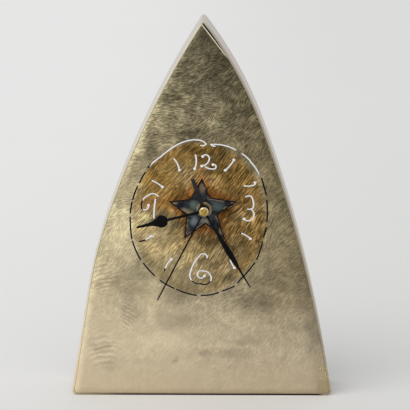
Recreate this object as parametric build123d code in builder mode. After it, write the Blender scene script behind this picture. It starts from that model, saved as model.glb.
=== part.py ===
# Steeple clock: a welded lancet case of sheet steel, a slit-cut dial and a quartz alarm movement
# Millimetres, +Z up, front faces -Y, origin at the centre of the foot
import os
from math import asin, cos, hypot, radians, sin, sqrt, tan

from build123d import *

os.makedirs("parts", exist_ok=True)

# Case
sheet = 1.6
case_depth = 50.0
foot_half = 106.2
foot_radius = 4.0
apex_radius = 2.5
band_return = 15.0
plate_bevel = 0.35
seam_gap = 1.0
seam_length = 26.0
weld_leg = 2.2
weld_length = 11.0
weld_first = 45.0
weld_pitch = 63.0
weld_foot = 55.0
front_y = -case_depth / 2
back_y = case_depth / 2

# Sides: a straight foot leaning in, then two arcs from the knee to the waist and on to the apex
left_lean = 9.1
left_knee = 90.0
left_waist = 140.0
left_lower_radius = 325.0
left_upper_radius = 714.0
right_lean = 9.25
right_knee = 20.0
right_waist = 220.0
right_lower_radius = 1081.0
right_upper_radius = 327.0

# Dial, measured from the hand centre
dial_x = 2.1
dial_z = 154.1
art_x = -0.6
art_z = -0.1
kerf = 1.2
pierce = 2.4
star_bridge = 0.09
port_x = -1.6
port_z = -8.45
port_width = 99.2
port_height = 123.1

# Fits
running = 0.05
air = 0.3
edge_air = 0.2

# Movement fixing
gasket_thick = 1.0
gasket_radius = 13.0
washer_thick = 0.8
washer_radius = 6.2
nut_thick = 3.0
nut_flats = 10.6
bushing_radius = 4.0
bushing_proud = 0.7
bushing_bevel = 0.4

# Coaxial shafts
second_shaft = 0.5
minute_tube = 1.5
hour_tube = 2.25
alarm_tube = 3.0

# Hands: angles clockwise from 12, lengths from the centre and half widths
hand_thick = 0.5
hand_lift = 1.2
hand_pitch = 1.5
hand_hub = 4.5
hand_point = 0.45
alarm_hand_angle = 340.5
hour_hand_angle = 255.9
minute_hand_angle = 149.0
second_hand_angle = 207.3
alarm_length = 27.3
alarm_width = 3.0
hour_length = 55.8
hour_root = 1.15
hour_neck = 1.0
hour_neck_at = 31.0
spade_at = 35.0
spade_radius = 5.0
spade_shoulder = 3.4
spade_shoulder_at = 39.0
hour_blade = 1.65
hour_blade_at = 43.3
hour_point = 0.7
minute_length = 72.5
minute_root = 0.6
minute_waist = 1.0
minute_waist_at = 18.0
minute_swell = 1.8
minute_swell_at = 30.0
minute_broad = 2.4
minute_broad_at = 39.0
minute_shoulder = 1.75
minute_shoulder_at = 49.0
minute_blade = 0.85
minute_blade_at = 55.0
second_length = 81.7
second_hub = 2.6
second_root = 0.6
second_point = 0.55
boss_tall = 1.6
boss_radius = 3.8
boss_bevel = 1.1

# Movement case
movement_half = 30.0
movement_rise = 27.5
movement_corner = 2.5
movement_wall = 1.6
movement_face = 1.4
bay_wall_z = -11.4
bay_wall = 1.0
bay_air = 0.35
bay_below = 1.15
post = 3.0
mid_plate_thick = 1.0

# Wheels: sizes, and steps from one level to the next
wheel_width = 1.0
leaf_proud = 0.2
stud_proud = 0.6
set_module = 0.6
set_distance = 12.0
alarm_distance = 12.6
third_distance = 11.0
second_module = 0.5
rotor_module = 0.42
alarm_wheel_step = 0.6
hour_wheel_step = 1.8
motion_wheel_step = 2.0
plate_step = 1.6
centre_wheel_step = 2.6
third_wheel_step = 2.2
second_wheel_step = 2.2
intermediate_step = 1.4
intermediate_width = 0.8
end_air = 1.0
arbor = 0.5
set_arbor = 0.9
pivot_depth = 0.6

# Directions of the wheel centres, anticlockwise from +X
motion_angle = 175.0
alarm_angle = -35.0
third_angle = 100.0
intermediate_angle = 20.0
rotor_angle = 60.0

# Stepping motor and circuit
magnet_radius = 3.5
magnet_thick = 1.5
magnet_air = 0.5
stator_thick = 1.0
stator_rim = 0.75
stator_side = 1.5
stator_half = 9.7
stator_arm = 3.0
core_width = 4.0
core_thick = 1.0
coil_radius = 3.4
coil_length = 12.4
coil_reach = 8.5
board_width = 14.0
board_height = 24.0
board_thick = 1.0
board_margin = 0.7
crystal_width = 2.4
crystal_length = 6.5
crystal_thick = 2.0
crystal_corner = 0.6
chip_radius = 3.2
chip_thick = 1.2
chip_bevel = 0.8
buzzer_radius = 9.0
buzzer_thick = 2.8
buzzer_margin = 2.4

# Battery
cell_radius = 7.25
cell_seat = 1.75
cell_edge = 0.5
nub_radius = 2.75
cell_nub = 1.0
contact_room = 3.65
contact_thick = 0.4
contact_tall = 11.0
contact_foot = 6.0
contact_bow = 5.0
contact_flat = 1.5

# Knobs and alarm switch
knob_tall = 3.6
knob_socket = 2.4
knob_air = 0.5
knob_teeth = 18
time_knob_radius = 5.5
alarm_knob_radius = 4.6
switch_travel = 4.0
switch_stem = 3.0
switch_shoe = 0.8
switch_shoe_width = 10.0
switch_shoe_height = 6.0
switch_cap = 1.6
switch_cap_side = 5.0
switch_round = 0.4
switch_inset_x = 11.4
switch_inset_z = 5.4

# Levels from the dial forward, as y of each front face
nut_y = front_y - washer_thick - nut_thick
bushing_y = nut_y - bushing_proud
alarm_hand_y = bushing_y - hand_lift
hour_hand_y = alarm_hand_y - hand_pitch
minute_hand_y = hour_hand_y - hand_pitch
second_hand_y = minute_hand_y - hand_pitch
boss_y = second_hand_y - boss_tall

# Levels from the dial back
movement_front = front_y + sheet + gasket_thick
inner_front = movement_front + movement_face
alarm_wheel_y = inner_front + alarm_wheel_step
hour_wheel_y = alarm_wheel_y + hour_wheel_step
motion_wheel_y = hour_wheel_y + motion_wheel_step
mid_plate_y = motion_wheel_y + plate_step
centre_wheel_y = mid_plate_y + centre_wheel_step
third_wheel_y = centre_wheel_y + third_wheel_step
second_wheel_y = third_wheel_y + second_wheel_step
intermediate_wheel_y = second_wheel_y + intermediate_step
inner_back = intermediate_wheel_y + intermediate_width + end_air
movement_back = inner_back + movement_face
movement_seam = third_wheel_y + wheel_width + edge_air
arbor_end = inner_back + pivot_depth

# Inside of the movement case, and the battery bay along its lower side
inner_half = movement_half - movement_wall
inner_high = movement_rise - movement_wall
bay_high = bay_wall_z - bay_wall
cell_z = bay_high - bay_air - cell_radius
inner_low = cell_z - cell_radius - bay_below
movement_low = inner_low - movement_wall
cell_y = inner_front + cell_seat + cell_radius
cell_length = 2 * (inner_half - contact_room)


def polar(distance, angle):
    return distance * cos(radians(angle)), distance * sin(radians(angle))


def shifted(point, x, z):
    return point[0] + x, point[1] + z


def dial_plane(y, centre=(0, 0), clock=0.0):
    """Plane facing the front at depth y, turned clockwise by clock degrees."""
    turn = radians(clock)
    return Plane(
        origin=(dial_x + centre[0], y, dial_z + centre[1]),
        x_dir=(cos(turn), 0, -sin(turn)),
        z_dir=(0, -1, 0),
    )


def side_arcs(lean, knee, waist, lower_radius, upper_radius):
    """Lean of the straight, knee and waist heights, and centre and radius of both arcs of one side."""
    tilt = radians(lean)
    knee_half = foot_half - knee * tan(tilt)
    lower = (knee_half - lower_radius * cos(tilt), knee - lower_radius * sin(tilt), lower_radius)
    turn = asin((waist - lower[1]) / lower_radius)
    step = lower_radius - upper_radius
    upper = (lower[0] + step * cos(turn), lower[1] + step * sin(turn), upper_radius)
    return tilt, knee, waist, lower, upper


sides = {
    -1: side_arcs(left_lean, left_knee, left_waist, left_lower_radius, left_upper_radius),
    1: side_arcs(right_lean, right_knee, right_waist, right_lower_radius, right_upper_radius),
}


def side_lean(side, z):
    """Lean of one side at height z."""
    tilt, knee, waist, lower, upper = sides[side]
    arc = lower if z < waist else upper
    return tilt if z < knee else asin((z - arc[1]) / arc[2])


def side_x(side, z, inset):
    """Half width of one side at height z, moved in by inset."""
    tilt, knee, waist, lower, upper = sides[side]
    if z < knee:
        return foot_half - z * tan(tilt) - inset / cos(tilt)
    centre_x, centre_z, radius = lower if z < waist else upper
    return centre_x + sqrt((radius - inset) ** 2 - (z - centre_z) ** 2)


def apex(inset):
    """Where the two sides meet, moved in by inset."""
    left_x, left_z, left_radius = sides[-1][4]
    right_x, right_z, right_radius = sides[1][4]
    across, rise = right_x + left_x, right_z - left_z
    apart = hypot(across, rise)
    near, far = left_radius - inset, right_radius - inset
    along = (near**2 - far**2 + apart**2) / (2 * apart)
    high = sqrt(near**2 - along**2)
    return (
        -left_x + (along * across + high * rise) / apart,
        left_z + (along * rise - high * across) / apart,
    )


def lancet(inset):
    """Case outline moved in by inset, drawn in the current sketch."""
    top_x, top_z = apex(inset)
    with BuildLine() as edge:
        for side in (-1, 1):
            knee, waist = sides[side][1:3]
            low, bend, mid, turn, high = (
                (side * side_x(side, z, inset), z)
                for z in (inset, knee, (knee + waist) / 2, waist, (waist + top_z) / 2)
            )
            Line(low, bend)
            ThreePointArc(bend, mid, turn)
            ThreePointArc(turn, high, (top_x, top_z))
        Line((-side_x(-1, inset, inset), inset), (side_x(1, inset, inset), inset))
    outline = make_face(edge.edges())
    corners = outline.vertices().sort_by(Axis.Y)
    outline = fillet(corners[:2], radius=foot_radius - inset)
    fillet(outline.vertices().sort_by(Axis.Y)[-1:], radius=apex_radius - inset)


def cut_arc(start, middle, end):
    """One slit along an arc, in the current sketch."""
    with BuildLine(mode=Mode.PRIVATE) as path:
        ThreePointArc(start, middle, end)
    arc = path.edges()[0]
    spokes = [arc @ share - arc.arc_center for share in (0, 0.5, 1)]
    near, far = (
        [arc.arc_center + spoke.normalized() * (arc.radius + side) for spoke in spokes]
        for side in (-kerf / 2, kerf / 2)
    )
    with BuildLine() as edge:
        ThreePointArc(*near)
        ThreePointArc(*far)
        Line(near[0], far[0])
        Line(near[2], far[2])
    make_face(edge.edges())


def cut_line(start, end):
    """One straight slit, in the current sketch."""
    across = Vector(start.Y - end.Y, end.X - start.X).normalized() * (kerf / 2)
    with BuildLine() as edge:
        Polyline(start + across, end + across, end - across, start - across, close=True)
    make_face(edge.edges())


def gear(teeth, module, first, leaf=False):
    """Straight-flank teeth in the current sketch, the first tooth at angle first."""
    pitch = teeth * module / 2
    tip = pitch + module * (0.8 if leaf else 0.9)
    root = pitch - module * 1.2
    root_half = 0.21 if leaf else 0.27
    tip_half = 0.12 if leaf else 0.11
    step = 360 / teeth
    points = []
    for k in range(teeth):
        for radius, share in ((root, -root_half), (tip, -tip_half), (tip, tip_half), (root, root_half)):
            points.append(polar(radius, first + (k + share) * step))
    with BuildLine() as edge:
        Polyline(*points, close=True)
    make_face(edge.edges())


def disc(y, radius, length, centre=(0, 0)):
    """Solid cylinder from y towards the back, added to the current part."""
    with BuildSketch(dial_plane(y, centre)) as end:
        Circle(radius)
    extrude(end.sketch, amount=-length)


def bore(y, radius, length, centre=(0, 0)):
    """Round hole from y towards the back, cut from the current part."""
    with BuildSketch(dial_plane(y, centre)) as end:
        Circle(radius)
    extrude(end.sketch, amount=-length, mode=Mode.SUBTRACT)


motion_at = polar(set_distance, motion_angle)
alarm_at = polar(alarm_distance, alarm_angle)
third_at = polar(third_distance, third_angle)
intermediate_at = polar(second_module * 18, intermediate_angle)
rotor_at = shifted(intermediate_at, *polar(rotor_module * 21, rotor_angle))
centre_module = third_distance / 27
third_module = third_distance / 25.5

case_front = Plane.XZ.offset(-front_y)

# Side bands, bent at the foot, each with its half of the rounded apex
base_half = foot_half - band_return


def side_band(side):
    """One band between the outline and the plate, added to the current part."""
    middle = apex(0)[0]
    with BuildSketch(case_front) as strip:
        lancet(0)
        with BuildSketch(mode=Mode.SUBTRACT):
            lancet(sheet)
        with Locations((middle + side * 2 * foot_half, 0)):
            Rectangle(4 * foot_half, 8 * foot_half, mode=Mode.INTERSECT)
        Rectangle(2 * base_half, 4 * sheet, mode=Mode.SUBTRACT)
    extrude(strip.sketch, amount=-case_depth)


with BuildPart() as left_band:
    side_band(-1)
left_band.part.label = "left_band"
export_step(left_band.part, "parts/left_band.step")

with BuildPart() as right_band:
    side_band(1)
right_band.part.label = "right_band"
export_step(right_band.part, "parts/right_band.step")

# Base plate between the returns of the bands
with BuildPart() as base_plate:
    Box(2 * base_half, case_depth, sheet, align=(Align.CENTER, Align.CENTER, Align.MIN))
base_plate.part.label = "base_plate"
export_step(base_plate.part, "parts/base_plate.step")

# Corners of the hand-cut star, from its top tip clockwise
star_corners = (
    (-1.1, 24.9), (4.9, 9.5), (26.1, 6.1), (10.6, -3.9), (16.6, -23.2),
    (1.8, -11.2), (-14.9, -23.0), (-13.1, -4.1), (-26.7, 6.1), (-10.1, 8.2),
)
# Hour ticks and numerals as chains of arcs, three points to an arc
dial_strokes = (
    ((24.5, 40.5), (21.6, 36.0), (17.5, 32.0)),
    ((32.5, 19.5), (37.0, 19.2), (40.6, 20.0), (41.5, 20.8), (41.5, 22.0)),
    ((29.0, -19.0), (34.0, -21.0), (38.0, -24.0)),
    ((21.5, -41.0), (23.0, -44.5), (25.0, -48.0)),
    ((-26.0, -41.0), (-29.5, -45.5), (-31.5, -51.0)),
    ((-40.0, -23.2), (-41.0, -22.3), (-42.3, -22.0), (-46.5, -24.8), (-52.0, -26.4)),
    ((-41.5, 23.7), (-37.3, 21.6), (-33.0, 18.4)),
    ((-23.8, 41.6), (-20.6, 36.8), (-19.2, 32.0)),
    ((-6.5, 45.0), (-5.6, 39.5), (-7.0, 33.3)),
    ((-0.6, 43.3), (3.2, 44.3), (4.8, 41.0), (2.8, 37.4), (-1.3, 35.4)),
    ((1.3, 35.0), (4.5, 33.5), (8.4, 33.1), (10.2, 35.0), (7.7, 36.6)),
    ((33.6, 10.3), (36.0, 11.1), (38.4, 11.0), (40.4, 5.5), (40.1, 1.3), (38.0, 0.4), (35.5, 0.3)),
    ((38.4, 0.3), (40.8, -3.8), (39.4, -7.9), (36.0, -9.3), (32.7, -7.6)),
    (
        (3.1, -40.1), (0.2, -36.4), (-3.0, -38.2), (-8.2, -45.4), (-11.0, -54.0), (-9.0, -59.0), (-2.0, -61.0),
        (5.4, -59.6), (6.2, -55.2), (3.6, -51.7), (-0.6, -50.8), (-4.8, -52.8), (0.9, -54.7),
    ),
    ((-36.2, 10.2), (-39.8, 12.8), (-44.3, 11.2), (-49.4, 6.5), (-49.5, 0.5), (-46.5, -0.4), (-44.3, 3.4)),
    ((-38.5, 8.8), (-39.6, 0.8), (-39.9, -7.5)),
    ((9.8, 51.7), (7.6, 51.9), (6.0, 53.1), (16.5, 52.3), (26.4, 48.4)),
)
pierce_holes = (
    (24.5, 40.5), (17.5, 32.0), (41.5, 22.0), (38.0, -24.0), (25.0, -48.0), (-26.0, -41.0),
    (-42.3, -22.0), (-33.0, 18.4), (-19.2, 32.0), (-7.0, 33.3), (-0.6, 43.3), (-1.3, 35.4),
    (7.7, 36.6), (32.7, -7.6), (0.9, -54.7), (-44.3, 3.4),
)
# Broken ring round the dial, from its curl at the top clockwise, cut like the numerals
ring_strokes = (
    ((30.9, 45.6), (34.7, 42.8), (38.8, 38.0), (42.0, 33.9), (45.4, 27.9)),
    ((46.7, 26.0), (48.9, 18.6), (50.7, 11.9)),
    ((51.0, 8.0), (51.6, -1.0), (51.2, -10.0)),
    ((50.9, -14.4), (49.8, -18.7), (48.4, -22.8)),
    ((47.8, -25.8), (45.9, -33.5), (43.1, -41.3)),
    ((41.7, -43.4), (34.9, -52.2), (27.5, -60.4)),
    ((25.1, -63.0), (20.0, -65.4), (15.1, -67.3)),
    ((12.5, -68.3), (5.4, -70.3), (-2.2, -70.8)),
    ((-5.4, -70.8), (-14.0, -68.8), (-22.0, -65.7)),
    ((-23.3, -65.1), (-29.4, -62.1), (-35.1, -58.3)),
    ((-39.3, -54.6), (-44.2, -49.6), (-48.6, -44.0)),
    ((-50.6, -41.4), (-54.7, -33.3), (-57.3, -25.7)),
    ((-57.7, -24.4), (-58.7, -15.6), (-58.9, -6.2)),
    ((-58.8, -3.3), (-58.3, 1.6), (-57.3, 6.6)),
    ((-56.9, 7.8), (-55.2, 13.5), (-52.8, 19.0)),
    ((-51.5, 21.5), (-49.1, 26.2), (-46.3, 30.7)),
    (
        (-44.6, 33.8), (-40.0, 38.6), (-34.7, 42.6), (-28.7, 47.6), (-21.9, 52.2), (-16.3, 54.9), (-10.7, 56.4),
        (-6.3, 56.8), (-2.2, 56.3), (0.4, 55.1), (2.2, 53.4), (0.2, 52.0), (-2.5, 52.5),
    ),
)

# Front plate: an open seam on the right below the apex, then the dial cut through it
with BuildPart() as front_plate:
    with BuildSketch(case_front):
        lancet(sheet)
        seam_x, seam_top = apex(sheet)
        seam_foot = seam_top - seam_length
        with BuildLine():
            Polyline(
                (side_x(1, seam_foot, sheet), seam_foot),
                (seam_x - seam_gap, seam_top - seam_gap),
                (seam_x, seam_top + seam_gap),
                (side_x(1, seam_foot, 0), seam_foot),
                close=True,
            )
        make_face(mode=Mode.SUBTRACT)
    extrude(amount=-sheet)
    chamfer(front_plate.faces().sort_by(Axis.Y)[0].edges(), length=plate_bevel)
    bore(front_y, bushing_radius + running, sheet)
    with BuildSketch(dial_plane(front_y, (art_x, art_z))):
        for stroke in dial_strokes + ring_strokes:
            for start, middle, end in zip(stroke[0::2], stroke[1::2], stroke[2::2]):
                cut_arc(start, middle, end)
            for joint in stroke[2:-1:2]:
                with Locations(joint):
                    Circle(kerf / 2)
        with Locations(*pierce_holes):
            Circle(pierce / 2)
        for k, corner in enumerate(Vector(*corner) for corner in star_corners):
            for other in (star_corners[k - 1], star_corners[(k + 1) % len(star_corners)]):
                cut_line(corner, corner + (Vector(*other) - corner) * (0.5 - star_bridge))
            with Locations(corner):
                Circle(kerf / 2)
    extrude(amount=-sheet, mode=Mode.SUBTRACT)
front_plate.part.label = "front_plate"
export_step(front_plate.part, "parts/front_plate.step")

# Back plate with a round-ended port behind the dial
with BuildPart() as back_plate:
    with BuildSketch(Plane.XZ.offset(sheet - back_y)):
        lancet(sheet)
        with Locations((dial_x + port_x, dial_z + port_z)):
            SlotOverall(port_height, port_width, rotation=90, mode=Mode.SUBTRACT)
    extrude(amount=-sheet)
back_plate.part.label = "back_plate"
export_step(back_plate.part, "parts/back_plate.step")


# Weld runs in the inside corners
def weld_run(corner, inward, along, rise):
    """Three-sided bead between a plate and a wall, added to the current part."""
    with BuildSketch(Plane(origin=corner, x_dir=inward, z_dir=along)) as end:
        with BuildLine():
            Polyline((0, 0), (weld_leg, 0), (0, rise), close=True)
        make_face()
    extrude(end.sketch, amount=weld_length / 2, both=True)


with BuildPart() as tack_welds:
    for wall_y, inside in ((front_y + sheet, 1), (back_y - sheet, -1)):
        for k in range(4):
            z = weld_first + k * weld_pitch
            for side in (-1, 1):
                lean = side_lean(side, z)
                corner = (side * side_x(side, z, sheet + running), wall_y, z)
                inward = (-side * cos(lean), 0, -sin(lean))
                along = (-side * sin(lean), 0, cos(lean))
                weld_run(corner, inward, along, -side * inside * weld_leg)
        for x in (-weld_foot, weld_foot):
            weld_run((x, wall_y, sheet), (0, 0, 1), (1, 0, 0), -inside * weld_leg)
tack_welds.part.label = "tack_welds"
export_step(tack_welds.part, "parts/tack_welds.step")

# Movement fixing: gasket behind the plate, washer and nut in front, bushing through all
with BuildPart() as gasket:
    disc(front_y + sheet, gasket_radius, gasket_thick)
    bore(front_y + sheet, bushing_radius + running, gasket_thick)
gasket.part.label = "gasket"
export_step(gasket.part, "parts/gasket.step")

with BuildPart() as washer:
    disc(front_y - washer_thick, washer_radius, washer_thick)
    bore(front_y - washer_thick, bushing_radius + running, washer_thick)
washer.part.label = "washer"
export_step(washer.part, "parts/washer.step")

with BuildPart() as nut:
    with BuildSketch(dial_plane(nut_y)):
        RegularPolygon(nut_flats / 2, 6, major_radius=False)
        Circle(bushing_radius, mode=Mode.SUBTRACT)
    extrude(amount=-nut_thick)
nut.part.label = "nut"
export_step(nut.part, "parts/nut.step")

with BuildPart() as bushing:
    disc(bushing_y, bushing_radius, inner_front - bushing_y)
    chamfer(bushing.faces().sort_by(Axis.Y)[0].edges(), length=bushing_bevel)
    bore(bushing_y, alarm_tube + running, inner_front - bushing_y)
bushing.part.label = "bushing"
export_step(bushing.part, "parts/bushing.step")


# Movement front case: a tray with a battery bay along its lower side
def movement_ring():
    """Side walls of the movement, in the current sketch."""
    with Locations((0, (movement_rise + movement_low) / 2)):
        RectangleRounded(2 * movement_half, movement_rise - movement_low, movement_corner)
    with Locations((0, (inner_high + inner_low) / 2)):
        Rectangle(2 * inner_half, inner_high - inner_low, mode=Mode.SUBTRACT)


post_x = inner_half - post / 2
post_high = inner_high - post / 2
post_low = bay_wall_z + post / 2
with BuildPart() as movement_front_case:
    with BuildSketch(dial_plane(movement_front)):
        with Locations((0, (movement_rise + movement_low) / 2)):
            RectangleRounded(2 * movement_half, movement_rise - movement_low, movement_corner)
        Circle(bushing_radius, mode=Mode.SUBTRACT)
    extrude(amount=-movement_face)
    with BuildSketch(dial_plane(inner_front)):
        movement_ring()
        with Locations((0, bay_wall_z - bay_wall / 2)):
            Rectangle(2 * inner_half, bay_wall)
    extrude(amount=inner_front - movement_seam)
    with BuildSketch(dial_plane(movement_seam)):
        movement_ring()
        with Locations((0, bay_high + movement_half)):
            Rectangle(4 * movement_half, 2 * movement_half, mode=Mode.SUBTRACT)
    extrude(amount=movement_seam - movement_back)
    with BuildSketch(dial_plane(inner_front)):
        with Locations((-post_x, post_low), (post_x, post_low), (-post_x, post_high), (post_x, post_high)):
            Rectangle(post, post)
    extrude(amount=inner_front - mid_plate_y)
    for pivot in (motion_at, alarm_at):
        bore(inner_front - pivot_depth - air, set_arbor + running, pivot_depth + air, pivot)
movement_front_case.part.label = "movement_front_case"
export_step(movement_front_case.part, "parts/movement_front_case.step")

# Mid plate: carries the pivots, the motor and the circuit
plate_low = bay_wall_z + edge_air
plate_high = inner_high - edge_air
coil_at = shifted(rotor_at, coil_reach, 0)
with BuildPart() as mid_plate:
    with BuildSketch(dial_plane(mid_plate_y)):
        with Locations((0, (plate_low + plate_high) / 2)):
            Rectangle(2 * (inner_half - edge_air), plate_high - plate_low)
        Circle(minute_tube + running, mode=Mode.SUBTRACT)
        with Locations(motion_at, alarm_at):
            Circle(set_arbor + running, mode=Mode.SUBTRACT)
        with Locations(third_at, rotor_at):
            Circle(arbor + running, mode=Mode.SUBTRACT)
        with Locations(coil_at):
            Rectangle(2 * (coil_radius + air), coil_length + 2 * air, mode=Mode.SUBTRACT)
    extrude(amount=-mid_plate_thick)
mid_plate.part.label = "mid_plate"
export_step(mid_plate.part, "parts/mid_plate.step")

# Movement back case: closes the wheels, leaves the battery bay open
switch_at = (inner_half - switch_inset_x, inner_high - switch_inset_z)
with BuildPart() as movement_back_case:
    with BuildSketch(dial_plane(movement_seam)):
        with Locations((0, (bay_high + movement_rise) / 2)):
            Rectangle(2 * movement_half, movement_rise - bay_high)
    extrude(amount=movement_seam - movement_back)
    with BuildSketch(dial_plane(movement_seam)):
        with Locations((0, (bay_wall_z + inner_high) / 2)):
            Rectangle(2 * inner_half, inner_high - bay_wall_z)
    extrude(amount=movement_seam - inner_back, mode=Mode.SUBTRACT)
    fillet(movement_back_case.edges().filter_by(Axis.Y).sort_by(Axis.Z)[-2:], radius=movement_corner)
    for pivot in (motion_at, alarm_at):
        bore(inner_back, set_arbor + running, movement_face, pivot)
    for pivot in ((0, 0), third_at, rotor_at):
        bore(inner_back, arbor + running, pivot_depth + air, pivot)
    disc(second_wheel_y - stud_proud, arbor, inner_back - second_wheel_y + stud_proud, intermediate_at)
    with BuildSketch(dial_plane(inner_back, switch_at)):
        with Locations((switch_travel / 2, 0)):
            Rectangle(switch_travel + switch_stem + 2 * air, switch_stem + 2 * air)
    extrude(amount=-movement_face, mode=Mode.SUBTRACT)
movement_back_case.part.label = "movement_back_case"
export_step(movement_back_case.part, "parts/movement_back_case.step")

# Alarm hand and its wheel
with BuildPart() as alarm_hand:
    with BuildSketch(dial_plane(alarm_hand_y, clock=alarm_hand_angle)):
        Circle(hand_hub)
        with Locations((0, alarm_length / 2)):
            Rectangle(alarm_width, alarm_length)
        Circle(alarm_tube, mode=Mode.SUBTRACT)
    extrude(amount=-hand_thick)
alarm_hand.part.label = "alarm_hand"
export_step(alarm_hand.part, "parts/alarm_hand.step")

with BuildPart() as alarm_wheel:
    with BuildSketch(dial_plane(alarm_wheel_y)):
        gear(32, set_module, alarm_angle + 180 / 32)
    extrude(amount=-wheel_width)
    disc(alarm_hand_y, alarm_tube, alarm_wheel_y - alarm_hand_y)
    bore(alarm_hand_y, hour_tube + running, alarm_wheel_y + wheel_width - alarm_hand_y)
alarm_wheel.part.label = "alarm_wheel"
export_step(alarm_wheel.part, "parts/alarm_wheel.step")


def blade(*stations):
    """Symmetrical hand outline through (half width, distance) stations, in the current sketch."""
    right = [(half, reach) for half, reach in stations]
    left = [(-half, reach) for half, reach in reversed(stations)]
    with BuildLine() as edge:
        Polyline(*right, *left, close=True)
    make_face(edge.edges())


# Hour hand, a spade, and its wheel
with BuildPart() as hour_hand:
    with BuildSketch(dial_plane(hour_hand_y, clock=hour_hand_angle)):
        Circle(hand_hub)
        blade((hour_root, 0), (hour_neck, hour_neck_at))
        with Locations((0, spade_at)):
            Circle(spade_radius)
        blade((spade_shoulder, spade_shoulder_at), (hour_blade, hour_blade_at), (hour_point, hour_length))
        Circle(hour_tube, mode=Mode.SUBTRACT)
    extrude(amount=-hand_thick)
hour_hand.part.label = "hour_hand"
export_step(hour_hand.part, "parts/hour_hand.step")

with BuildPart() as hour_wheel:
    with BuildSketch(dial_plane(hour_wheel_y)):
        gear(32, set_module, motion_angle + 180 / 32)
    extrude(amount=-wheel_width)
    disc(hour_hand_y, hour_tube, hour_wheel_y - hour_hand_y)
    bore(hour_hand_y, minute_tube + running, hour_wheel_y + wheel_width - hour_hand_y)
hour_wheel.part.label = "hour_wheel"
export_step(hour_wheel.part, "parts/hour_wheel.step")

# Minute hand, a spear, and its wheel with the pinion that drives the hour
with BuildPart() as minute_hand:
    with BuildSketch(dial_plane(minute_hand_y, clock=minute_hand_angle)):
        Circle(hand_hub)
        blade(
            (minute_root, 0),
            (minute_waist, minute_waist_at),
            (minute_swell, minute_swell_at),
            (minute_broad, minute_broad_at),
            (minute_shoulder, minute_shoulder_at),
            (minute_blade, minute_blade_at),
            (hand_point, minute_length),
        )
        Circle(minute_tube, mode=Mode.SUBTRACT)
    extrude(amount=-hand_thick)
minute_hand.part.label = "minute_hand"
export_step(minute_hand.part, "parts/minute_hand.step")

with BuildPart() as minute_wheel:
    with BuildSketch(dial_plane(centre_wheel_y)):
        gear(48, centre_module, third_angle + 180 / 48)
    extrude(amount=-wheel_width)
    with BuildSketch(dial_plane(motion_wheel_y - leaf_proud)):
        gear(10, set_module, motion_angle, leaf=True)
    extrude(amount=-(wheel_width + 2 * leaf_proud))
    disc(minute_hand_y, minute_tube, centre_wheel_y - minute_hand_y)
    bore(minute_hand_y, second_shaft + running, centre_wheel_y + wheel_width - minute_hand_y)
minute_wheel.part.label = "minute_wheel"
export_step(minute_wheel.part, "parts/minute_wheel.step")

# Second hand, a needle, its brass boss and its arbor
with BuildPart() as second_hand:
    with BuildSketch(dial_plane(second_hand_y, clock=second_hand_angle)):
        Circle(second_hub)
        blade((second_root, 0), (second_point, second_length))
        Circle(second_shaft, mode=Mode.SUBTRACT)
    extrude(amount=-hand_thick)
second_hand.part.label = "second_hand"
export_step(second_hand.part, "parts/second_hand.step")

with BuildPart() as second_boss:
    disc(boss_y, boss_radius, second_hand_y - boss_y)
    chamfer(second_boss.faces().sort_by(Axis.Y)[0].edges(), length=boss_bevel)
second_boss.part.label = "second_boss"
export_step(second_boss.part, "parts/second_boss.step")

with BuildPart() as second_wheel:
    with BuildSketch(dial_plane(second_wheel_y)):
        gear(30, second_module, intermediate_angle + 180 / 30)
    extrude(amount=-wheel_width)
    with BuildSketch(dial_plane(third_wheel_y - leaf_proud)):
        gear(6, third_module, third_angle, leaf=True)
    extrude(amount=-(wheel_width + 2 * leaf_proud))
    disc(second_hand_y, second_shaft, arbor_end - second_hand_y)
second_wheel.part.label = "second_wheel"
export_step(second_wheel.part, "parts/second_wheel.step")

# Third wheel, between the minute and the second wheels
with BuildPart() as third_wheel:
    with BuildSketch(dial_plane(third_wheel_y, third_at)):
        gear(45, third_module, third_angle + 180 + 180 / 45)
    extrude(amount=-wheel_width)
    with BuildSketch(dial_plane(centre_wheel_y - leaf_proud, third_at)):
        gear(6, centre_module, third_angle + 180, leaf=True)
    extrude(amount=centre_wheel_y - leaf_proud - third_wheel_y)
    disc(mid_plate_y, arbor, arbor_end - mid_plate_y, third_at)
third_wheel.part.label = "third_wheel"
export_step(third_wheel.part, "parts/third_wheel.step")

# Intermediate wheel, between the rotor and the second wheel, running on a stud of the back case
with BuildPart() as intermediate_wheel:
    with BuildSketch(dial_plane(intermediate_wheel_y, intermediate_at)):
        gear(36, rotor_module, rotor_angle + 180 / 36)
    extrude(amount=-intermediate_width)
    with BuildSketch(dial_plane(second_wheel_y - leaf_proud, intermediate_at)):
        gear(6, second_module, intermediate_angle + 180, leaf=True)
    pinion_length = intermediate_wheel_y - second_wheel_y + leaf_proud
    extrude(amount=-pinion_length)
    bore(second_wheel_y - leaf_proud, arbor + running, pinion_length + intermediate_width, intermediate_at)
intermediate_wheel.part.label = "intermediate_wheel"
export_step(intermediate_wheel.part, "parts/intermediate_wheel.step")

# Stepping motor: rotor, stator, core and winding
stator_y = mid_plate_y + mid_plate_thick
core_y = stator_y + stator_thick
rotor_hole = magnet_radius + magnet_air
with BuildPart() as rotor_arbor:
    with BuildSketch(dial_plane(intermediate_wheel_y - leaf_proud, rotor_at)):
        gear(6, rotor_module, rotor_angle + 180, leaf=True)
    extrude(amount=-(intermediate_width + 2 * leaf_proud))
    disc(mid_plate_y, arbor, arbor_end - mid_plate_y, rotor_at)
rotor_arbor.part.label = "rotor_arbor"
export_step(rotor_arbor.part, "parts/rotor_arbor.step")

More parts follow.
